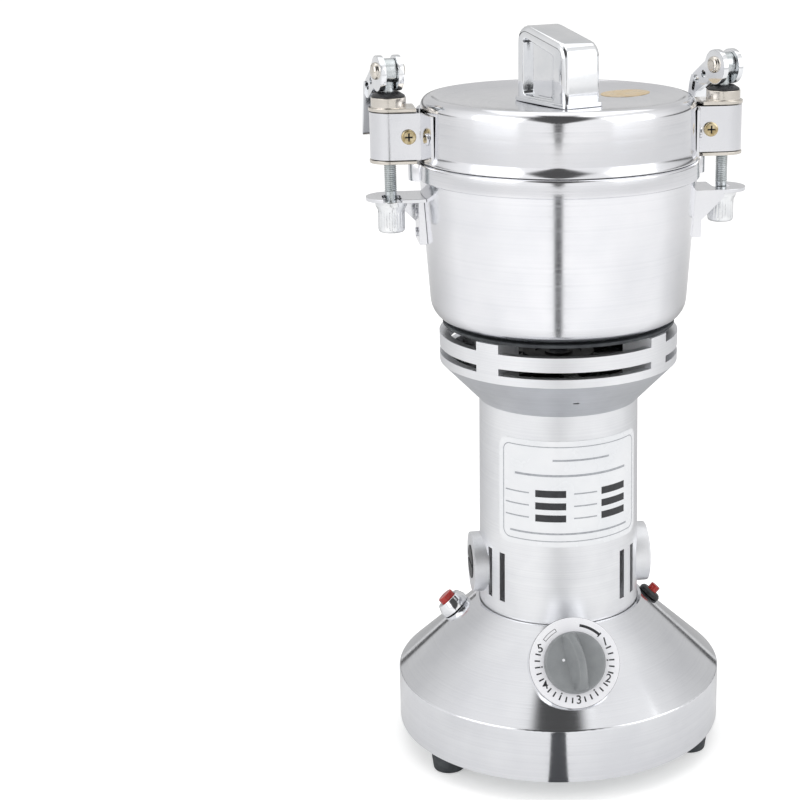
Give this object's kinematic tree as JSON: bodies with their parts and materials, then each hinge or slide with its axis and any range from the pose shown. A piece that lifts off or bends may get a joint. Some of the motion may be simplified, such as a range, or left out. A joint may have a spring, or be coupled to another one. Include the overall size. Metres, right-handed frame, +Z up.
{
  "type": "electric grain mill",
  "caption": "Upright electric grain mill: steel bowl with a turning clamped lid on a cast motor column and base, with a timer knob and two push buttons.",
  "frame": {"origin": "on the motor axis, at the floor that the feet stand on", "axes": "+Z up along the motor axis, -Y towards the front with the timer, +X to the right"},
  "size_m": [0.202, 0.18, 0.3946],
  "materials": {
    "polished_steel": "polished",
    "chrome": "polished",
    "cast_aluminium": "satin, fine grained",
    "machined_aluminium": "machined",
    "zinc_steel": "zinc plated",
    "nickel": "nickel plated, warm",
    "brass": "plated",
    "copper": "enamelled copper wire",
    "lamination": "varnished sheet stack",
    "bearing_steel": "ground",
    "carbon": "pressed carbon",
    "black_plastic": "moulded",
    "grey_plastic": "moulded, matt",
    "white_plastic": "printed",
    "red_plastic": "moulded",
    "black_rubber": "matt",
    "silicone": "translucent white"
  },
  "bodies": {
    "base": {"base_shell": "cast_aluminium", "base_plate": "zinc_steel", "rubber_feet": "black_rubber", "foot_screws": "zinc_steel", "motor_housing": "cast_aluminium", "housing_screws": "zinc_steel", "brush_holders": "brass", "carbon_brushes": "carbon", "brush_springs": "bearing_steel", "brush_caps": "black_plastic", "stator_core": "lamination", "field_coils": "copper", "end_shield": "machined_aluminium", "shield_screws": "zinc_steel", "bearings": "bearing_steel", "bowl": "polished_steel", "bowl_gasket": "black_rubber", "bowl_screws": "polished_steel", "shaft_seal": "black_plastic", "bowl_catches": "polished_steel", "catch_rivets": "polished_steel", "timer_dial": "white_plastic", "timer_body": "black_plastic", "timer_nut": "zinc_steel", "switch_bezel": "chrome", "switch_body": "black_plastic", "overload_breaker": "black_plastic", "cord_gland": "black_rubber", "terminal_block": "white_plastic", "capacitor": "white_plastic"},
    "rotor": {"motor_shaft": "bearing_steel", "armature_core": "lamination", "armature_windings": "copper", "commutator": "copper", "cooling_fan": "black_plastic", "lower_blade": "polished_steel", "upper_blade": "polished_steel", "blade_spacer": "polished_steel", "blade_nut": "polished_steel"},
    "lid": {"lid_shell": "polished_steel", "lid_seal": "silicone", "lid_handle": "chrome", "handle_screws": "zinc_steel", "lid_clips": "polished_steel", "clip_screws": "brass", "clip_rivets": "polished_steel", "clamp_guides": "nickel", "clamp_washers": "black_plastic"},
    "stud_left": {"stud_left": "zinc_steel"},
    "stud_right": {"stud_right": "zinc_steel"},
    "lever_left": {"cam_lever_left": "chrome", "lever_pin_left": "nickel"},
    "lever_right": {"cam_lever_right": "chrome", "lever_pin_right": "nickel"},
    "nut_left": {"knurled_nut_left": "chrome"},
    "nut_right": {"knurled_nut_right": "chrome"},
    "timer_knob": {"timer_knob": "grey_plastic"},
    "start_button": {"start_button": "red_plastic"},
    "reset_button": {"reset_button": "red_plastic"}
  },
  "joints": [
    {"name": "rotor_spin", "type": "hinge", "parent": "base", "child": "rotor", "pos_m": [0, 0, 0.132], "axis": [0, 0, 1], "continuous": true},
    {"name": "lid_turn", "type": "hinge", "parent": "base", "child": "lid", "pos_m": [0, 0, 0.3283], "axis": [0, 0, 1], "range_deg": [0, 25]},
    {"name": "stud_left_travel", "type": "slide", "parent": "lid", "child": "stud_left", "axis": [0, 0, 1], "range_m": [-0.0013, 0]},
    {"name": "lever_left_lift", "type": "hinge", "parent": "stud_left", "child": "lever_left", "pos_m": [-0.088, 0, 0.37385], "axis": [0.9781, 0.2079, 0], "range_deg": [0, 95]},
    {"name": "nut_left_turn", "type": "hinge", "parent": "stud_left", "child": "nut_left", "pos_m": [-0.088, 0, 0.291], "axis": [0, 0, 1], "range_deg": [-360, 0]},
    {"name": "stud_right_travel", "type": "slide", "parent": "lid", "child": "stud_right", "axis": [0, 0, 1], "range_m": [-0.0013, 0]},
    {"name": "lever_right_lift", "type": "hinge", "parent": "stud_right", "child": "lever_right", "pos_m": [0.088, 0, 0.37385], "axis": [0.9397, 0.342, 0], "range_deg": [0, 95]},
    {"name": "nut_right_turn", "type": "hinge", "parent": "stud_right", "child": "nut_right", "pos_m": [0.088, 0, 0.291], "axis": [0, 0, 1], "range_deg": [-360, 0]},
    {"name": "timer_turn", "type": "hinge", "parent": "base", "child": "timer_knob", "pos_m": [-0.00361, -0.06886, 0.07053], "axis": [-0.0453, -0.8648, 0.5], "range_deg": [-295, 0]},
    {"name": "start_press", "type": "slide", "parent": "base", "child": "start_button", "axis": [0.6531, -0.175, -0.7368], "range_m": [0, 0.0022], "stiffness_N_per_m": 600, "springref_m": -0.001},
    {"name": "reset_press", "type": "slide", "parent": "base", "child": "reset_button", "axis": [-0.6752, -0.0354, -0.7368], "range_m": [0, 0.0016], "stiffness_N_per_m": 600, "springref_m": -0.001}
  ],
  "couplings": [
    {"joint": "lever_left_lift", "follows": "stud_left_travel", "rad_per_m": -1271},
    {"joint": "lever_right_lift", "follows": "stud_right_travel", "rad_per_m": -1271}
  ]
}
